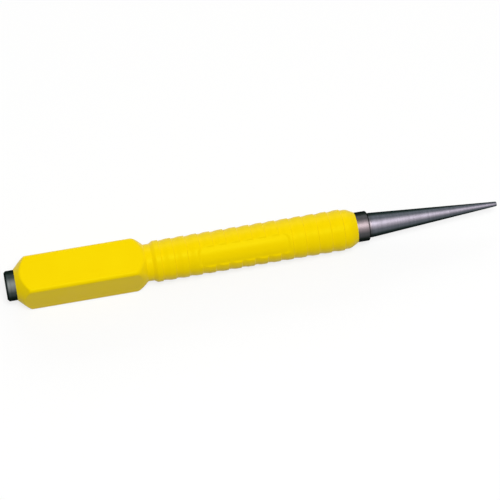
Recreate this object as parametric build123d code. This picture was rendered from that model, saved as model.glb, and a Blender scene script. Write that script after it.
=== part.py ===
"""Nail setter: a hardened steel punch with a square-headed, ribbed sleeve moulded on it.

Millimetres. The tool lies along +X with the middle of its struck face on the origin and its
tip at the far end. +Z is up. One flat of the square head faces down, level with the ribs of
the grip, so the tool lies on both.
"""
from build123d import *
import math
import os

# Steel punch, turned from round bar
BAR_DIA = 8.0
STUB_LENGTH = 2.6             # bare bar behind the sleeve, the end that is struck
STRUCK_BEVEL = 0.5
COLLAR_LENGTH = 3.3           # bare bar ahead of the sleeve
COLLAR_BEVEL = 0.25
CONE_LENGTH = 35.6            # from the step at the collar to the tip
CONE_ROOT_DIA = 6.75
RELIEF_WIDTH = 0.6            # turned line at the foot of the step
RELIEF_DEPTH = 0.1
TIP_DIA = 1.25
TIP_BEVEL = 0.1
CUP_DIA = 0.8                 # hollow in the tip that sits on the nail's head
CUP_DEPTH = 0.15

# Shank inside the sleeve: a shoulder at each end keeps the sleeve from sliding
SHOULDER_HEIGHT = 0.3
KEY_FLAT_LENGTH = 12.0
KEY_FLAT_DEPTH = 0.5

# Moulded sleeve: square head
HEAD_LENGTH = 34.45           # from the sleeve's rear end to the neck
HEAD_ACROSS_FLATS = 11.0
HEAD_CORNER_RADIUS = 1.0
HEAD_REAR_EDGE_RADIUS = 0.5
HEAD_FRONT_EDGE_RADIUS = 0.9
MOUTH_LIP = 0.1               # how far the sleeve's ends stand above the bare bar

# Moulded sleeve: neck, ribbed grip and nose
NECK_DIA = 9.8
NECK_LENGTH = 1.6             # straight part, up to the bevel of the first rib
NECK_CORNER_RADIUS = 0.3
GRIP_DIA = 11.0
RIB_COUNT = 15
RIB_LENGTH = 2.0
GROOVE_WIDTH = 1.5            # at the mouth
GROOVE_FLOOR_WIDTH = 0.6
GROOVE_DEPTH = 0.27
NOSE_LAND = 0.1               # straight part between the last groove and the nose's round
NOSE_BLEND_RADIUS = 2.8
NOSE_HALF_ANGLE = 28.5        # of the cone from the round to the collar

# Smooth panel sunk in the ribs, level with the grooves' floors
PANEL_GROOVES = 7             # how many grooves it interrupts
PANEL_FIRST_RIB = 4           # the rib in whose middle it starts, from the neck
PANEL_WIDTH = 5.8             # across the rim
PANEL_CORNER_RADIUS = 1.8
PANEL_EDGE_RADIUS = 1.0       # hollow round between its floor and its rim
PANEL_TURN = 40.0             # from straight up towards -Y, about the tool's axis

# Worked out from the sizes above
BAR_R = BAR_DIA / 2
SHANK_R = BAR_R - SHOULDER_HEIGHT
MOUTH_R = BAR_R + MOUTH_LIP
NECK_R = NECK_DIA / 2
GRIP_R = GRIP_DIA / 2
VALLEY_R = GRIP_R - GROOVE_DEPTH
RIB_PITCH = RIB_LENGTH + GROOVE_WIDTH
SLEEVE_START = STUB_LENGTH
NECK_START = SLEEVE_START + HEAD_LENGTH
GRIP_START = NECK_START + NECK_LENGTH + GRIP_R - NECK_R
NOSE_START = GRIP_START + RIB_COUNT * RIB_PITCH - GROOVE_WIDTH / 2
NOSE_SLOPE = math.radians(NOSE_HALF_ANGLE)
NOSE_CORNER = NOSE_START + NOSE_LAND + NOSE_BLEND_RADIUS * math.tan(NOSE_SLOPE / 2)
SLEEVE_END = NOSE_CORNER + (VALLEY_R - MOUTH_R) / math.tan(NOSE_SLOPE)
COLLAR_END = SLEEVE_END + COLLAR_LENGTH
OVERALL_LENGTH = COLLAR_END + CONE_LENGTH


def turned(outline):
    """Solid of revolution about the tool's axis from (x, radius) points."""
    return revolve(make_face(Polyline(*outline, close=True)), Axis.X)


def steel_punch():
    """One bar: struck end, shank between its shoulders, collar, cone and cupped tip."""
    root_r = CONE_ROOT_DIA / 2
    tip_r = TIP_DIA / 2
    cone_fall = (root_r - tip_r) / CONE_LENGTH
    relief_end = COLLAR_END + RELIEF_WIDTH
    punch = turned([
        (0, 0),
        (0, BAR_R - STRUCK_BEVEL),
        (STRUCK_BEVEL, BAR_R),
        (SLEEVE_START, BAR_R),
        (SLEEVE_START, SHANK_R),
        (SLEEVE_END, SHANK_R),
        (SLEEVE_END, BAR_R),
        (COLLAR_END - COLLAR_BEVEL, BAR_R),
        (COLLAR_END, BAR_R - COLLAR_BEVEL),
        (COLLAR_END, root_r - RELIEF_DEPTH),
        (relief_end, root_r - RELIEF_DEPTH),
        (relief_end, root_r - cone_fall * RELIEF_WIDTH),
        (OVERALL_LENGTH - TIP_BEVEL, tip_r + cone_fall * TIP_BEVEL),
        (OVERALL_LENGTH, tip_r - TIP_BEVEL),
        (OVERALL_LENGTH, 0),
    ])
    return punch - key_flats() - tip_cup()


def key_flats():
    """Two flats milled on the shank inside the square head; the sleeve can't turn on them."""
    middle = NECK_START - KEY_FLAT_LENGTH / 2
    cutter = Box(KEY_FLAT_LENGTH, BAR_DIA, BAR_DIA)
    reach = SHANK_R - KEY_FLAT_DEPTH + BAR_DIA / 2
    return [Pos(middle, 0, side * reach) * cutter for side in (-1, 1)]


def tip_cup():
    """Shallow round hollow in the end of the tip."""
    ball_r = ((CUP_DIA / 2) ** 2 + CUP_DEPTH ** 2) / (2 * CUP_DEPTH)
    return Pos(OVERALL_LENGTH - CUP_DEPTH + ball_r, 0, 0) * Sphere(ball_r)


def grip_sleeve(punch):
    """The moulding on the punch: square head, neck, ribbed grip with its panel, and nose."""
    body = square_head() + round_body()
    circles = body.edges().filter_by(GeomType.CIRCLE)
    neck_root = circles.sort_by_distance((NECK_START, 0, NECK_R))[0]
    return fillet(neck_root, NECK_CORNER_RADIUS) - panel_cut() - punch


def square_head():
    """Square bar with rounded corners, turned to a 45 degree cone at each end."""
    corner_r = HEAD_ACROSS_FLATS / math.sqrt(2)
    section = RectangleRounded(HEAD_ACROSS_FLATS, HEAD_ACROSS_FLATS, HEAD_CORNER_RADIUS)
    cones = turned([
        (SLEEVE_START, 0),
        (SLEEVE_START, MOUTH_R),
        (SLEEVE_START + corner_r - MOUTH_R, corner_r),
        (NECK_START - corner_r + NECK_R, corner_r),
        (NECK_START, NECK_R),
        (NECK_START, 0),
    ])
    head = extrude(Plane.YZ.offset(SLEEVE_START) * section, HEAD_LENGTH) & cones
    head = fillet(cone_edges(head, rear=True), HEAD_REAR_EDGE_RADIUS)
    return fillet(cone_edges(head, rear=False), HEAD_FRONT_EDGE_RADIUS)


def cone_edges(head, rear):
    """Edges where the flats and corners of the head run into one of its cones."""
    middle = SLEEVE_START + HEAD_LENGTH / 2
    return [edge for edge in head.edges()
            if edge.geom_type not in (GeomType.LINE, GeomType.CIRCLE)
            and (edge.center().X < middle) == rear]


def round_body():
    """Neck, ribs and nose as one turned outline, with the grooves cut round it."""
    outline = make_face(Polyline(
        (NECK_START, 0),
        (NECK_START, NECK_R),
        (NECK_START + NECK_LENGTH, NECK_R),
        (GRIP_START, GRIP_R),
        (NOSE_START, GRIP_R),
        (NOSE_START, VALLEY_R),
        (NOSE_CORNER, VALLEY_R),
        (SLEEVE_END, MOUTH_R),
        (SLEEVE_END, 0),
        close=True))
    groove = Trapezoid(GROOVE_WIDTH, GROOVE_DEPTH, flank_angle(), rotation=180)
    for number in range(1, RIB_COUNT + 1):
        middle = GRIP_START + number * RIB_PITCH - GROOVE_WIDTH / 2
        outline -= Pos(middle, GRIP_R - GROOVE_DEPTH / 2) * groove
    nose = outline.vertices().sort_by_distance((NOSE_CORNER, VALLEY_R))[0]
    return revolve(fillet(nose, NOSE_BLEND_RADIUS), Axis.X)


def flank_angle():
    """Angle between a groove's flank and the rib's crest, in degrees."""
    run = (GROOVE_WIDTH - GROOVE_FLOOR_WIDTH) / 2
    return math.degrees(math.atan2(GROOVE_DEPTH, run))


def panel_cut():
    """The panel as a cutter: a block bent round the tool, its lower edges rounded.

    Its sides stand where the round of its edge would turn upright. The round is cut off at
    the rim before that, so the sides lie outside the rim.
    """
    rim_rise = PANEL_EDGE_RADIUS - GROOVE_DEPTH
    outside = PANEL_EDGE_RADIUS - math.sqrt(PANEL_EDGE_RADIUS ** 2 - rim_rise ** 2)
    start = GRIP_START + (PANEL_FIRST_RIB - 1) * RIB_PITCH + RIB_LENGTH / 2
    block_start = start - outside
    block_end = start + PANEL_GROOVES * RIB_PITCH + outside
    block_top = VALLEY_R + PANEL_EDGE_RADIUS + GROOVE_DEPTH
    half_angle = math.degrees(math.asin((PANEL_WIDTH / 2 + outside) / GRIP_R))
    side_view = make_face(Polyline(
        (block_start, VALLEY_R),
        (block_start, block_top),
        (block_end, block_top),
        (block_end, VALLEY_R),
        close=True))
    block = revolve(side_view, Axis.X, 2 * half_angle)
    corners = block.edges().filter_by(GeomType.LINE).filter_by(Axis.X, reverse=True)
    block = fillet(corners, PANEL_CORNER_RADIUS + outside)
    floor = block.faces().sort_by_distance(((block_start + block_end) / 2, 0, 0))[0]
    return Rot(X=90 + PANEL_TURN - half_angle) * fillet(floor.edges(), PANEL_EDGE_RADIUS)


def main():
    """Write each piece to its own file."""
    os.makedirs("parts", exist_ok=True)
    punch = steel_punch()
    sleeve = grip_sleeve(punch)
    for name, piece in (("steel_punch", punch), ("grip_sleeve", sleeve)):
        export_step(piece, f"parts/{name}.step")


if __name__ == "__main__":
    main()
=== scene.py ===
"""Dresses the nail setter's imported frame: a moulded yellow sleeve on a turned and ground punch.

The script builds the two pieces again as fine meshes over their solids, gives each its
material, and sets up a plain white studio with the camera at the photograph's angle.
Lengths are metres in the part's own frame: +X from the struck face to the tip, +Z up.
"""

import logging
import math
from dataclasses import dataclass
from enum import Enum

import bmesh
import bpy
from mathutils import Matrix, Vector

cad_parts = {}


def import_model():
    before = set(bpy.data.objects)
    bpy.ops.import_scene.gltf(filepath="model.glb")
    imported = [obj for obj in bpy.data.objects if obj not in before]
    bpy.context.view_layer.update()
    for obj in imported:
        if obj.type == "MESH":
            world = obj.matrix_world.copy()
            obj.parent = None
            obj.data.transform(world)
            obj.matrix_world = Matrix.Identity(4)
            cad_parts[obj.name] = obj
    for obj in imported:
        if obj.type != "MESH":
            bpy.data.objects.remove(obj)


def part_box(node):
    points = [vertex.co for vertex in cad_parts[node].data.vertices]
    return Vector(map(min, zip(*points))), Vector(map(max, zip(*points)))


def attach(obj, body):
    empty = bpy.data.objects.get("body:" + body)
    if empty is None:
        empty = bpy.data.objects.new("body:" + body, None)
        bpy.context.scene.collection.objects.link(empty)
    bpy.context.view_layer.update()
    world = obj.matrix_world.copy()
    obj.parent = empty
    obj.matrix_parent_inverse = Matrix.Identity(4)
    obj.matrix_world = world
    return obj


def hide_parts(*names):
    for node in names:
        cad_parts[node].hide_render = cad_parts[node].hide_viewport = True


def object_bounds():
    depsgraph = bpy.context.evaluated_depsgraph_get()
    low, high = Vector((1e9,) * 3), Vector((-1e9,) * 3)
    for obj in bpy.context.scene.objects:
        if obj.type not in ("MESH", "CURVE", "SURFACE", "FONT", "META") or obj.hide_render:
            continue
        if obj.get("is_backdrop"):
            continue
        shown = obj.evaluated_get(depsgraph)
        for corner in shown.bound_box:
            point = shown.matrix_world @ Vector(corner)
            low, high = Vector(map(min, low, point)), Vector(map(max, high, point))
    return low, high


LOG = logging.getLogger("nail_setter")
MM = 0.001
ROOT_BODY = "root"
WHITE = (1.0, 1.0, 1.0, 1.0)
# noise textures seldom leave this range
NOISE_LOW, NOISE_HIGH = 0.3, 0.7
# a bend of less than this, in radians, needs no round
LEAST_BEND = 1e-4
# keeps a run of exactly one step from being cut in two
ROUNDING_SLACK = 1e-6
MERGE_DISTANCE = 1e-7


class Node(Enum):
    """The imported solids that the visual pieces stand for."""

    PUNCH = "steel_punch"
    SLEEVE = "grip_sleeve"


class Slot(Enum):
    """The record's material slots."""

    STEEL = "punch_steel"
    PLASTIC = "sleeve_plastic"


def linear(hex_colour: str) -> tuple[float, float, float, float]:
    """Turns an sRGB hex colour into linear RGBA.

    Args:
        hex_colour: Six hex digits, with or without a leading hash.

    Returns:
        Linear red, green, blue and an alpha of 1.
    """
    digits = hex_colour.lstrip("#")
    channels = [int(digits[i : i + 2], 16) / 255 for i in (0, 2, 4)]
    curve = [c / 12.92 if c <= 0.04045 else ((c + 0.055) / 1.055) ** 2.4 for c in channels]
    return (*curve, 1.0)


def add_node(
    material: bpy.types.Material | bpy.types.World,
    kind: str,
    settings: dict | None = None,
    values: dict | None = None,
    links: dict | None = None,
) -> bpy.types.Node:
    """Adds a shader node with its settings, socket values and incoming links.

    Args:
        material: The material or world whose tree gets the node.
        kind: The node's type name.
        settings: Attributes of the node itself.
        values: Default values by input name or index.
        links: Output sockets by the input name or index that they feed.

    Returns:
        The new node.
    """
    tree = material.node_tree
    node = tree.nodes.new(kind)
    for name, value in (settings or {}).items():
        setattr(node, name, value)
    for name, value in (values or {}).items():
        node.inputs[name].default_value = value
    for name, socket in (links or {}).items():
        tree.links.new(socket, node.inputs[name])
    return node


def clear_tree(owner: bpy.types.Material | bpy.types.World) -> None:
    """Turns on the owner's node tree and empties it."""
    owner.use_nodes = True
    owner.node_tree.nodes.clear()


class Outline:
    """A section through a turned piece, as corners that may be rounded."""

    def __init__(self) -> None:
        """Starts an empty outline."""
        self.corners: list[tuple[Vector, float, float]] = []

    def to(self, along: float, radius: float, rounded: float = 0.0, step: float = 1.0) -> "Outline":
        """Adds a corner.

        Args:
            along: Place along the tool, in metres.
            radius: Distance from the tool's axis, in metres.
            rounded: Radius of the round that replaces the corner.
            step: Longest spacing of points on the straight run that leads to the corner.

        Returns:
            The outline itself, so that calls can be chained.
        """
        self.corners.append((Vector((along, radius)), rounded, step))
        return self

    def points(self, closed: bool, arc_turn: float = math.radians(8.0)) -> list[Vector]:
        """Works out the outline's points, with arcs for rounded corners.

        Args:
            closed: Whether the last corner joins the first.
            arc_turn: Largest change of direction between neighbouring points of an arc.

        Returns:
            Points as (along, radius), in order.
        """
        count = len(self.corners)
        runs: list[Vector] = []
        for index, (corner, rounded, step) in enumerate(self.corners):
            before = self.corners[index - 1][0]
            after = self.corners[(index + 1) % count][0]
            inner = closed or 0 < index < count - 1
            bend = [corner]
            if inner and rounded:
                bend = arc_points(before, corner, after, rounded, arc_turn)
            if runs:
                runs += straight_points(runs[-1], bend[0], step)
            runs += bend
        if closed:
            runs += straight_points(runs[-1], runs[0], self.corners[0][2])
        return runs


def straight_points(start: Vector, end: Vector, step: float) -> list[Vector]:
    """Points strictly between two ends, no further apart than a step."""
    pieces = max(1, math.ceil((end - start).length / step - ROUNDING_SLACK))
    return [start.lerp(end, i / pieces) for i in range(1, pieces)]


def arc_points(
    before: Vector, corner: Vector, after: Vector, radius: float, turn: float
) -> list[Vector]:
    """Points of the arc that rounds a corner.

    Args:
        before: The corner before this one.
        corner: The corner to round.
        after: The corner after this one.
        radius: The arc's radius.
        turn: Largest change of direction between neighbouring points.

    Returns:
        Points from one tangent point to the other.
    """
    back = (before - corner).normalized()
    ahead = (after - corner).normalized()
    opening = back.angle(ahead)
    sweep = math.pi - opening
    if sweep < LEAST_BEND:
        return [corner]
    reach = radius / math.tan(opening / 2)
    centre = corner + (back + ahead).normalized() * (radius / math.sin(opening / 2))
    first = corner + back * reach - centre
    last = corner + ahead * reach - centre
    pieces = max(2, math.ceil(sweep / turn))
    arc = []
    for i in range(pieces + 1):
        part = i / pieces
        blend = first * math.sin((1 - part) * sweep) + last * math.sin(part * sweep)
        arc.append(centre + blend / math.sin(sweep))
    return arc


def spun_mesh(outline: list[Vector], steps: int, closed: bool) -> bmesh.types.BMesh:
    """Spins an outline round the tool's axis.

    Args:
        outline: Points as (along, radius).
        steps: Number of steps round the axis.
        closed: Whether the outline's last point joins its first.

    Returns:
        A closed mesh with its faces outwards.
    """
    mesh = bmesh.new()
    verts = [mesh.verts.new((p.x, 0.0, p.y)) for p in outline]
    pairs = list(zip(verts, verts[1:]))
    if closed:
        pairs.append((verts[-1], verts[0]))
    edges = [mesh.edges.new(pair) for pair in pairs]
    bmesh.ops.spin(
        mesh,
        geom=verts + edges,
        axis=(1.0, 0.0, 0.0),
        cent=(0.0, 0.0, 0.0),
        angle=math.tau,
        steps=steps,
        use_merge=True,
    )
    bmesh.ops.remove_doubles(mesh, verts=mesh.verts, dist=MERGE_DISTANCE)
    bmesh.ops.recalc_face_normals(mesh, faces=mesh.faces)
    return mesh


def finished_object(
    mesh: bmesh.types.BMesh, name: str, material: bpy.types.Material, sharp_from: float
) -> bpy.types.Object:
    """Makes the object of a finished mesh.

    Args:
        mesh: The mesh, which is freed.
        name: The object's name.
        material: Its material.
        sharp_from: Edges that turn by more than this angle stay crisp.

    Returns:
        The object, smooth shaded, at the origin.
    """
    data = bpy.data.meshes.new(name)
    mesh.to_mesh(data)
    mesh.free()
    data.shade_smooth()
    data.set_sharp_from_angle(angle=sharp_from)
    data.materials.append(material)
    piece = bpy.data.objects.new(name, data)
    bpy.context.scene.collection.objects.link(piece)
    return piece


def soft_min(a: float, b: float, width: float) -> float:
    """The lesser of two values, rounded off where they are closer than a width."""
    near = max(width - abs(a - b), 0.0) / width
    return min(a, b) - near * near * width / 4


@dataclass(frozen=True)
class MouldedPolypropylene:
    """Injection-moulded polypropylene from a spark-eroded tool: vivid yellow, satin skin.

    The colour is dyed through and only drifts a little, so the moulding looks even. The
    eroded grain breaks the lamp's reflection into a wide soft band.
    """

    colour: str = "#F5D701"
    warm: str = "#F2D001"
    sheen_tint: str = "#DCFF38"
    ior: float = 1.49
    gloss_level: float = 0.18
    roughness: float = 0.38
    roughness_drift: float = 0.04
    grain: float = 0.35 * MM
    grain_height: float = 0.012 * MM
    grain_strength: float = 0.3
    drift: float = 9.0 * MM

    def build(self) -> bpy.types.Material:
        """Makes the material."""
        mat = bpy.data.materials.new("polypropylene_yellow_moulded_satin")
        clear_tree(mat)
        where = add_node(mat, "ShaderNodeTexCoord").outputs["Object"]
        drift = add_node(
            mat,
            "ShaderNodeTexNoise",
            values={"Scale": 1 / self.drift, "Detail": 3.0, "Roughness": 0.55},
            links={"Vector": where},
        )
        tint = add_node(
            mat,
            "ShaderNodeMix",
            {"data_type": "RGBA"},
            {6: linear(self.warm), 7: linear(self.colour)},
            {0: drift.outputs["Fac"]},
        )
        gloss = add_node(
            mat,
            "ShaderNodeMapRange",
            values={
                "From Min": NOISE_LOW,
                "From Max": NOISE_HIGH,
                "To Min": self.roughness - self.roughness_drift,
                "To Max": self.roughness + self.roughness_drift,
            },
            links={"Value": drift.outputs["Fac"]},
        )
        # real spark-eroded grain is about 0.05 mm; it is drawn coarser so that it shows
        grain = add_node(
            mat,
            "ShaderNodeTexNoise",
            values={"Scale": 1 / self.grain, "Detail": 2.0, "Roughness": 0.5},
            links={"Vector": where},
        )
        bump = add_node(
            mat,
            "ShaderNodeBump",
            values={"Strength": self.grain_strength, "Distance": self.grain_height},
            links={"Height": grain.outputs["Fac"]},
        )
        surface = add_node(
            mat,
            "ShaderNodeBsdfPrincipled",
            values={
                "IOR": self.ior,
                "Specular IOR Level": self.gloss_level,
                "Specular Tint": linear(self.sheen_tint),
            },
            links={
                "Base Color": tint.outputs[2],
                "Roughness": gloss.outputs["Result"],
                "Normal": bump.outputs["Normal"],
            },
        )
        add_node(mat, "ShaderNodeOutputMaterial", links={"Surface": surface.outputs[0]})
        return mat


@dataclass(frozen=True)
class TurnedSteel:
    """Hardened tool steel, turned, ground and oiled: dark slate with a painted lilac highlight.

    The colour is painted by the angle of view: a lilac painted highlight where the surface faces
    the eye, turning to painted shade, almost black, where it is seen edge-on, which gives the round
    bar its dark edges. Fine rings left by the tool streak the highlight. The struck end is duller
    and greener than the rest, and the collar a little warmer. The fades from one to the next are
    shares of the bar's length.
    """

    # painted highlight and painted shade: base colours by the angle of view, lilac face-on, slate
    # when slanting, nearly black edge-on
    painted_highlight_face: str = "#97909C"
    painted_shade_slant: str = "#5A5E66"
    painted_shade_slant_at: float = 0.16
    painted_shade_edge: str = "#2C3635"
    painted_shade_edge_at: float = 0.45
    edge_tint: str = "#5A6466"
    roughness: float = 0.46
    struck_end_roughness: float = 0.6
    dull_fade: float = 1.0 * MM
    struck_end: float = 2.7 * MM
    cone_start: float = 97.2 * MM
    bar_length: float = 132.8 * MM
    struck_end_tone: str = "#A8B6A6"
    struck_end_fade: float = 0.01
    collar_tone: str = "#DAD0C6"
    collar_fade: float = 0.006
    ring_pitch: float = 0.55 * MM
    ring_stretch: float = 0.03
    ring_height: float = 0.010 * MM
    ring_strength: float = 0.5
    ring_tones: tuple[float, float] = (0.78, 1.1)
    patch: float = 5.0 * MM
    wear_tones: tuple[float, float] = (0.9, 1.06)

    def build(self) -> bpy.types.Material:
        """Makes the material."""
        mat = bpy.data.materials.new("tool_steel_turned_tempered")
        clear_tree(mat)
        where = add_node(mat, "ShaderNodeTexCoord").outputs["Object"]
        across = add_node(
            mat,
            "ShaderNodeMapping",
            values={"Scale": (1.0, self.ring_stretch, self.ring_stretch)},
            links={"Vector": where},
        )
        # real turning marks lie about 0.1 mm apart; they are drawn coarser so that they show
        rings = add_node(
            mat,
            "ShaderNodeTexNoise",
            values={"Scale": 1 / self.ring_pitch, "Detail": 5.0, "Roughness": 0.65},
            links={"Vector": across.outputs["Vector"]},
        )
        bump = add_node(
            mat,
            "ShaderNodeBump",
            values={"Strength": self.ring_strength, "Distance": self.ring_height},
            links={"Height": rings.outputs["Fac"]},
        )
        # painted highlight and shade: the base colour goes from lilac face-on to nearly black
        # edge-on, standing in for a broad highlight in the middle and a dark reflection at the
        # edges
        angle = add_node(mat, "ShaderNodeLayerWeight", values={"Blend": 0.5})
        painted_sheen_ramp = add_node(mat, "ShaderNodeValToRGB", links={"Fac": angle.outputs["Facing"]})
        painted_sheen_ramp.color_ramp.interpolation = "EASE"
        stops = painted_sheen_ramp.color_ramp.elements
        stops[0].position, stops[0].color = 0.0, linear(self.painted_highlight_face)
        stops[1].position, stops[1].color = self.painted_shade_edge_at, linear(self.painted_shade_edge)
        stops.new(self.painted_shade_slant_at).color = linear(self.painted_shade_slant)
        patches = add_node(
            mat,
            "ShaderNodeTexNoise",
            values={"Scale": 1 / self.patch, "Detail": 4.0, "Roughness": 0.6},
            links={"Vector": where},
        )
        wear = add_node(
            mat,
            "ShaderNodeMapRange",
            values={
                "From Min": NOISE_LOW,
                "From Max": NOISE_HIGH,
                "To Min": self.wear_tones[0],
                "To Max": self.wear_tones[1],
            },
            links={"Value": patches.outputs["Fac"]},
        )
        ring_tone = add_node(
            mat,
            "ShaderNodeMapRange",
            values={
                "From Min": NOISE_LOW,
                "From Max": NOISE_HIGH,
                "To Min": self.ring_tones[0],
                "To Max": self.ring_tones[1],
            },
            links={"Value": rings.outputs["Fac"]},
        )
        tone = add_node(
            mat,
            "ShaderNodeMath",
            {"operation": "MULTIPLY"},
            links={0: wear.outputs["Result"], 1: ring_tone.outputs["Result"]},
        )
        place = add_node(mat, "ShaderNodeSeparateXYZ", links={"Vector": where})
        part_way = add_node(
            mat,
            "ShaderNodeMapRange",
            values={"From Min": 0.0, "From Max": self.bar_length},
            links={"Value": place.outputs["X"]},
        )
        # the struck end is darker and greener, the collar a little darker and warmer
        skin = add_node(mat, "ShaderNodeValToRGB", links={"Fac": part_way.outputs["Result"]})
        struck_share = self.struck_end / self.bar_length
        cone_share = self.cone_start / self.bar_length
        ends = skin.color_ramp.elements
        ends[0].position, ends[0].color = struck_share, linear(self.struck_end_tone)
        ends[1].position, ends[1].color = cone_share + self.collar_fade, WHITE
        ends.new(struck_share + self.struck_end_fade).color = linear(self.collar_tone)
        ends.new(cone_share).color = linear(self.collar_tone)
        painted_sheen_toned = add_node(
            mat,
            "ShaderNodeVectorMath",
            {"operation": "MULTIPLY"},
            links={0: painted_sheen_ramp.outputs["Color"], 1: skin.outputs["Color"]},
        )
        colour = add_node(
            mat,
            "ShaderNodeVectorMath",
            {"operation": "SCALE"},
            links={"Vector": painted_sheen_toned.outputs[0], "Scale": tone.outputs[0]},
        )
        dullness = add_node(
            mat,
            "ShaderNodeMapRange",
            values={
                "From Min": self.struck_end,
                "From Max": self.struck_end + self.dull_fade,
                "To Min": self.struck_end_roughness,
                "To Max": self.roughness,
            },
            links={"Value": place.outputs["X"]},
        )
        surface = add_node(
            mat,
            "ShaderNodeBsdfPrincipled",
            values={"Metallic": 1.0, "Specular Tint": linear(self.edge_tint)},
            links={
                "Base Color": colour.outputs[0],
                "Roughness": dullness.outputs["Result"],
                "Normal": bump.outputs["Normal"],
            },
        )
        add_node(mat, "ShaderNodeOutputMaterial", links={"Surface": surface.outputs[0]})
        return mat


@dataclass
class SteelPunch:
    """The one steel bar: struck end, shank, collar, ground cone and cupped tip."""

    steps: int = 160
    bar_radius: float = 4.0 * MM
    shoulder: float = 0.3 * MM
    struck_bevel: float = 0.5 * MM
    collar_length: float = 3.3 * MM
    collar_bevel: float = 0.25 * MM
    cone_root_radius: float = 3.375 * MM
    relief_width: float = 0.6 * MM
    relief_depth: float = 0.1 * MM
    tip_radius: float = 0.625 * MM
    tip_bevel: float = 0.1 * MM
    cup_radius: float = 0.4 * MM
    cup_depth: float = 0.15 * MM
    edge: float = 0.06 * MM
    sharp_from: float = math.radians(35.0)

    def build(self, material: bpy.types.Material) -> bpy.types.Object:
        """Builds the bar over its solid and dresses it.

        Args:
            material: The steel.

        Returns:
            The finished object.
        """
        start, end = (corner.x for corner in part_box(Node.PUNCH.value))
        sleeve_start, sleeve_end = (corner.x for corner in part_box(Node.SLEEVE.value))
        collar_end = sleeve_end + self.collar_length
        relief_end = collar_end + self.relief_width
        fall = (self.cone_root_radius - self.tip_radius) / (end - collar_end)
        relief = self.cone_root_radius - self.relief_depth
        shank = self.bar_radius - self.shoulder
        fine, plain, hidden = 0.3 * MM, 2.0 * MM, 20.0 * MM
        outline = (
            Outline()
            .to(start, 0.0)
            .to(start, self.bar_radius - self.struck_bevel, self.edge, fine)
            .to(start + self.struck_bevel, self.bar_radius, 2 * self.edge, fine)
            .to(sleeve_start, self.bar_radius, 0.0, fine)
            .to(sleeve_start, shank, 0.0, fine)
            .to(sleeve_end, shank, 0.0, hidden)
            .to(sleeve_end, self.bar_radius, 0.0, fine)
            .to(collar_end - self.collar_bevel, self.bar_radius, 2 * self.edge, fine)
            .to(collar_end, self.bar_radius - self.collar_bevel, self.edge, fine)
            .to(collar_end, relief, self.edge, fine)
            .to(relief_end, relief, 0.0, fine)
            .to(relief_end, self.cone_root_radius - fall * self.relief_width, self.edge / 2, fine)
            .to(end - self.tip_bevel, self.tip_radius + fall * self.tip_bevel, self.edge, plain)
            .to(end, self.tip_radius - self.tip_bevel, self.edge, fine)
            .to(end, self.cup_radius, self.edge / 2, fine)
            .to(end - self.cup_depth, self.cup_radius / 2, self.cup_radius / 2, fine)
            .to(end - self.cup_depth, 0.0, 0.0, fine)
        )
        mesh = spun_mesh(outline.points(closed=False), self.steps, closed=False)
        piece = finished_object(mesh, "punch_turned_and_ground", material, self.sharp_from)
        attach(piece, ROOT_BODY)
        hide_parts(Node.PUNCH.value)
        return piece


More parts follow.
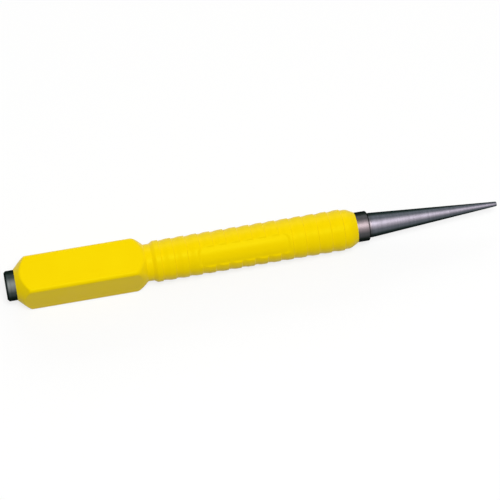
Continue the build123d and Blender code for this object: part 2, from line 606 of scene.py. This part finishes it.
@dataclass
class GripSleeve:
    """The moulding: square head, neck, ribbed grip with its sunk panel, and rounded nose.

    Each groove of the grip falls steeply from its rib, runs level, and rises gently to the
    next. It is drawn a little shallower than the panel, which has the depth of the solid.
    """

    steps: int = 180
    sharp_from: float = math.radians(50.0)
    bore_radius: float = 3.7 * MM
    mouth_radius: float = 4.1 * MM
    head_length: float = 34.45 * MM
    head_corner_radius: float = 1.0 * MM
    head_blank_radius: float = 8.2 * MM
    rear_softness: float = 0.3 * MM
    front_softness: float = 0.9 * MM
    neck_radius: float = 4.9 * MM
    neck_length: float = 1.6 * MM
    neck_round: float = 0.3 * MM
    rib_count: int = 15
    rib_length: float = 2.0 * MM
    first_rib_slope: float = 0.95 * MM
    first_rib_round: float = 0.8 * MM
    groove_width: float = 1.5 * MM
    groove_depth: float = 0.27 * MM
    drawn_depth: float = 0.22 * MM
    fall_lead: float = 0.3 * MM
    fall_run: float = 0.15 * MM
    fall_round: float = 0.1 * MM
    fall_foot_round: float = 0.3 * MM
    floor_run: float = 0.7 * MM
    rise_run: float = 1.2 * MM
    rise_round: float = 2.4 * MM
    nose_round: float = 2.8 * MM
    nose_half_angle: float = math.radians(28.5)
    panel_grooves: int = 7
    panel_first_rib: int = 4
    panel_width: float = 5.8 * MM
    panel_corner_radius: float = 1.8 * MM
    panel_edge_radius: float = 1.0 * MM
    panel_rim_softness: float = 0.05 * MM
    panel_turn: float = math.radians(40.0)
    lip_round: float = 0.05 * MM

    def __post_init__(self) -> None:
        """Reads the places of the sleeve's ends and faces from its solid."""
        low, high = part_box(Node.SLEEVE.value)
        self.start = low.x
        self.end = high.x
        self.half_flats = high.z
        self.grip_radius = high.z
        self.valley_radius = self.grip_radius - self.groove_depth
        self.neck_start = self.start + self.head_length
        self.grip_start = (
            self.neck_start + self.neck_length + self.grip_radius - self.neck_radius
        )
        self.pitch = self.rib_length + self.groove_width

    def outline(self) -> list[Vector]:
        """The sleeve's section, with the head as wide as the cones' corners need.

        Returns:
            Points of the closed outline, along the outside and back through the bore.
        """
        fine, rib_step, long_step, hidden = 0.25 * MM, 0.35 * MM, 2.5 * MM, 12.5 * MM
        blank = self.head_blank_radius
        outline = (
            Outline()
            .to(self.start, self.bore_radius, 0.0, hidden)
            .to(self.start, self.mouth_radius, self.lip_round, fine)
            .to(self.start + blank - self.mouth_radius, blank, 0.0, fine)
            .to(self.neck_start - blank + self.neck_radius, blank, 0.0, long_step)
            .to(self.neck_start, self.neck_radius, self.neck_round, fine)
            .to(self.neck_start + self.neck_length, self.neck_radius, self.neck_round, rib_step)
        )
        first_crest = self.neck_start + self.neck_length + self.first_rib_slope
        outline.to(first_crest, self.grip_radius, self.first_rib_round, fine)
        crest_end = self.grip_start + self.rib_length
        floor = self.grip_radius - self.drawn_depth
        for number in range(self.rib_count):
            foot = crest_end - self.fall_lead + self.fall_run
            outline.to(foot - self.fall_run, self.grip_radius, self.fall_round, rib_step)
            if number == self.rib_count - 1:
                outline.to(foot, self.valley_radius, self.fall_foot_round, fine)
                break
            rise = foot + self.floor_run
            outline.to(foot, floor, self.fall_foot_round, fine)
            outline.to(rise, floor, self.rise_round, rib_step)
            outline.to(rise + self.rise_run, self.grip_radius, self.rise_round, fine)
            crest_end += self.pitch
        nose_corner = self.end - (self.valley_radius - self.mouth_radius) / math.tan(
            self.nose_half_angle
        )
        outline.to(nose_corner, self.valley_radius, self.nose_round, fine)
        outline.to(self.end, self.mouth_radius, self.lip_round, rib_step)
        outline.to(self.end, self.bore_radius, 0.0, fine)
        return outline.points(closed=True)

    def square_reach(self, turn: float) -> float:
        """How far the head's rounded square reaches from the axis.

        Args:
            turn: Angle about the tool's axis.

        Returns:
            Distance from the axis to the square's edge.
        """
        across, up = sorted((abs(math.cos(turn)), abs(math.sin(turn))), reverse=True)
        straight = self.half_flats / across
        inset = self.half_flats - self.head_corner_radius
        if straight * up <= inset:
            return straight
        to_centre = (across + up) * inset
        return to_centre + math.sqrt(
            to_centre**2 - 2 * inset**2 + self.head_corner_radius**2
        )

    def panel_reach(self, along: float, turn: float) -> float:
        """How far the sleeve reaches from the axis at the sunk panel.

        Args:
            along: Place along the tool.
            turn: Angle about the tool's axis, from the middle of the panel.

        Returns:
            Distance from the axis to the panel's floor or edge, large outside the panel.
        """
        half_length = self.panel_grooves * self.pitch / 2
        rib_middle = self.grip_start + (self.panel_first_rib - 1) * self.pitch
        middle = rib_middle + self.rib_length / 2 + half_length
        half_width = self.grip_radius * math.asin(self.panel_width / 2 / self.grip_radius)
        beyond_x = abs(along - middle) - (half_length - self.panel_corner_radius)
        beyond_w = abs(turn * self.grip_radius) - (half_width - self.panel_corner_radius)
        outside = math.hypot(max(beyond_x, 0.0), max(beyond_w, 0.0))
        inside = min(max(beyond_x, beyond_w), 0.0)
        depth_in = self.panel_corner_radius - outside - inside
        edge = self.panel_edge_radius
        run = math.sqrt(edge**2 - (edge - self.groove_depth) ** 2)
        short = run - depth_in
        if short <= 0:
            return self.valley_radius
        if short >= edge:
            return 2 * self.grip_radius
        return self.valley_radius + edge - math.sqrt(edge**2 - short**2)

    def press(self, mesh: bmesh.types.BMesh) -> None:
        """Presses the round blank into shape: flats on the head, and the panel.

        Args:
            mesh: The spun blank.
        """
        panel_turn = math.pi / 2 + self.panel_turn
        head_middle = (self.start + self.neck_start) / 2
        for vert in mesh.verts:
            along, y, z = vert.co
            reach = math.hypot(y, z)
            if reach < self.mouth_radius + self.lip_round:
                continue
            turn = math.atan2(z, y)
            if along < self.neck_start:
                soft = self.rear_softness if along < head_middle else self.front_softness
                wanted = soft_min(self.square_reach(turn), reach, soft)
            else:
                aside = math.remainder(turn - panel_turn, math.tau)
                wanted = soft_min(self.panel_reach(along, aside), reach, self.panel_rim_softness)
            vert.co.y *= wanted / reach
            vert.co.z *= wanted / reach

    def build(self, material: bpy.types.Material) -> bpy.types.Object:
        """Builds the sleeve over its solid and dresses it.

        Args:
            material: The plastic.

        Returns:
            The finished object.
        """
        mesh = spun_mesh(self.outline(), self.steps, closed=True)
        self.press(mesh)
        piece = finished_object(mesh, "sleeve_moulded", material, self.sharp_from)
        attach(piece, ROOT_BODY)
        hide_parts(Node.SLEEVE.value)
        return piece


@dataclass
class Studio:
    """A white table in a room with pale walls and a dim ceiling, two soft boxes, the camera."""

    table_size: float = 8.0
    table_seen: str = "#FBFBFA"
    table_lit: str = "#969692"
    shadow_share: float = 0.25
    wall_light: float = 0.55
    ceiling_light: float = 0.2
    bright_side: tuple[float, float, float] = (0.5, 0.87, 0.0)
    dim_share: float = 0.7
    bright_share: float = 1.25
    wall_top: float = 0.25
    ceiling_edge: float = 0.8
    lamp_energy: float = 5.95
    lamp_size: float = 0.35
    lamp_distance: float = 0.9
    lamp_rise: float = math.radians(72.0)
    lamp_towards_tip: float = 0.02
    rim_energy: float = 1.8
    rim_width: float = 0.9
    rim_height: float = 0.3
    rim_rise: float = math.radians(28.0)
    view_rise: float = math.radians(63.5)
    view_headward: float = math.radians(7.0)
    view_tilt: float = math.radians(9.6)
    view_distance: float = 0.55
    view_half_width: float = 66.2 * MM
    middle: float = 65.6 * MM
    right_of_middle: float = 0.4 * MM
    above_middle: float = 1.3 * MM
    near_clip: float = 10.0 * MM

    def seen_directly(
        self, owner: bpy.types.Material | bpy.types.World
    ) -> bpy.types.NodeSocket:
        """A factor of 1 for camera, glossy and transmission rays, and 0 for the rest."""
        path = add_node(owner, "ShaderNodeLightPath")
        either = add_node(
            owner,
            "ShaderNodeMath",
            {"operation": "MAXIMUM"},
            links={0: path.outputs["Is Camera Ray"], 1: path.outputs["Is Glossy Ray"]},
        )
        return add_node(
            owner,
            "ShaderNodeMath",
            {"operation": "MAXIMUM"},
            links={0: either.outputs[0], 1: path.outputs["Is Transmission Ray"]},
        ).outputs[0]

    def build_world(self) -> None:
        """The room: pale walls under a dim ceiling, brightest behind and towards the tip."""
        world = bpy.data.worlds.new("studio_room")
        clear_tree(world)
        where = add_node(world, "ShaderNodeTexCoord").outputs["Generated"]
        height = add_node(world, "ShaderNodeSeparateXYZ", links={"Vector": where})
        strength = add_node(
            world,
            "ShaderNodeMapRange",
            {"interpolation_type": "SMOOTHSTEP"},
            {
                "From Min": self.wall_top,
                "From Max": self.ceiling_edge,
                "To Min": self.wall_light,
                "To Max": self.ceiling_light,
            },
            {"Value": height.outputs["Z"]},
        )
        towards_window = add_node(
            world,
            "ShaderNodeVectorMath",
            {"operation": "DOT_PRODUCT"},
            {1: self.bright_side},
            {0: where},
        )
        side = add_node(
            world,
            "ShaderNodeMapRange",
            values={
                "From Min": -1.0,
                "From Max": 1.0,
                "To Min": self.dim_share,
                "To Max": self.bright_share,
            },
            links={"Value": towards_window.outputs["Value"]},
        )
        level = add_node(
            world,
            "ShaderNodeMath",
            {"operation": "MULTIPLY"},
            links={0: strength.outputs["Result"], 1: side.outputs["Result"]},
        )
        # whatever looks straight at the room, or at its mirror image, sees plain white
        shown = add_node(
            world,
            "ShaderNodeMix",
            values={3: 1.0},
            links={0: self.seen_directly(world), 2: level.outputs[0]},
        )
        back = add_node(
            world,
            "ShaderNodeBackground",
            values={"Color": WHITE},
            links={"Strength": shown.outputs[0]},
        )
        add_node(world, "ShaderNodeOutputWorld", links={"Surface": back.outputs[0]})
        bpy.context.scene.world = world

    def build_table(self, height: float) -> None:
        """The table top: it looks white and keeps a faint soft shadow.

        Args:
            height: Its place on the Z axis.
        """
        mat = bpy.data.materials.new("table_pale_laminate")
        clear_tree(mat)
        seen = self.seen_directly(mat)
        tone = add_node(
            mat,
            "ShaderNodeMix",
            {"data_type": "RGBA"},
            {6: linear(self.table_lit), 7: linear(self.table_seen)},
            {0: seen},
        )
        matt = add_node(mat, "ShaderNodeBsdfDiffuse", links={"Color": tone.outputs[2]})
        glow = add_node(mat, "ShaderNodeEmission", values={"Color": WHITE})
        share = add_node(
            mat,
            "ShaderNodeMath",
            {"operation": "MULTIPLY"},
            {1: 1 - self.shadow_share},
            {0: seen},
        )
        mix = add_node(
            mat,
            "ShaderNodeMixShader",
            links={0: share.outputs[0], 1: matt.outputs[0], 2: glow.outputs[0]},
        )
        add_node(mat, "ShaderNodeOutputMaterial", links={"Surface": mix.outputs[0]})
        mesh = bmesh.new()
        bmesh.ops.create_grid(mesh, x_segments=1, y_segments=1, size=self.table_size / 2)
        bmesh.ops.translate(mesh, verts=mesh.verts, vec=(self.middle, 0.0, height))
        table = finished_object(mesh, "table_top", mat, math.pi)
        table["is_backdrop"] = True

    def add_lamp(self, name: str, place: Vector, size: tuple[float, float], energy: float) -> None:
        """Hangs a soft box that faces the tool.

        Args:
            name: The lamp's name.
            place: Its place, from the middle of the tool.
            size: Its width and height.
            energy: Its power in watts.
        """
        lamp = bpy.data.lights.new(name, "AREA")
        lamp.shape = "RECTANGLE"
        lamp.size, lamp.size_y = size
        lamp.energy = energy
        holder = bpy.data.objects.new(name, lamp)
        holder.location = Vector((self.middle, 0.0, 0.0)) + place
        holder.rotation_euler = place.to_track_quat("Z", "Y").to_euler()
        bpy.context.scene.collection.objects.link(holder)

    def build_lights(self) -> None:
        """A soft box above, a little towards the viewer, and a weak low one behind."""
        above = Vector((0.0, -math.cos(self.lamp_rise), math.sin(self.lamp_rise)))
        above *= self.lamp_distance
        above.x = self.lamp_towards_tip
        behind = Vector((0.0, math.cos(self.rim_rise), math.sin(self.rim_rise)))
        behind *= self.lamp_distance
        behind.x = self.lamp_towards_tip
        self.add_lamp("soft_box_above", above, (self.lamp_size, self.lamp_size), self.lamp_energy)
        self.add_lamp("soft_box_behind", behind, (self.rim_width, self.rim_height), self.rim_energy)

    def build_camera(self) -> None:
        """The camera, from the photograph's side: high, in front and a little to the struck end."""
        level = math.cos(self.view_headward)
        back = Vector(
            (
                -math.sin(self.view_headward),
                -math.cos(self.view_rise) * level,
                math.sin(self.view_rise) * level,
            )
        )
        along = Vector((1.0, 0.0, 0.0))
        along = (along - along.project(back)).normalized()
        across = back.cross(along)
        right = along * math.cos(self.view_tilt) - across * math.sin(self.view_tilt)
        up = along * math.sin(self.view_tilt) + across * math.cos(self.view_tilt)
        aim = Vector((self.middle, 0.0, 0.0))
        aim -= right * self.right_of_middle + up * self.above_middle
        lens = bpy.data.cameras.new("camera")
        lens.lens = lens.sensor_width / 2 * self.view_distance / self.view_half_width
        lens.clip_start = self.near_clip
        camera = bpy.data.objects.new("camera", lens)
        camera.location = aim + back * self.view_distance
        camera.rotation_euler = Matrix((right, up, back)).transposed().to_euler()
        bpy.context.scene.collection.objects.link(camera)
        bpy.context.scene.camera = camera


def main() -> None:
    logging.basicConfig(level=logging.INFO, format="%(name)s: %(message)s")
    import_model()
    cad_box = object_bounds()
    punch = SteelPunch().build(TurnedSteel().build())
    sleeve = GripSleeve().build(MouldedPolypropylene().build())
    for piece in (punch, sleeve):
        LOG.info("%s: %d faces", piece.name, len(piece.data.polygons))
    studio = Studio()
    studio.build_world()
    studio.build_table(height=cad_box[0].z)
    studio.build_lights()
    studio.build_camera()
    bpy.context.scene.view_settings.view_transform = "Standard"


if __name__ == "__main__":
    main()
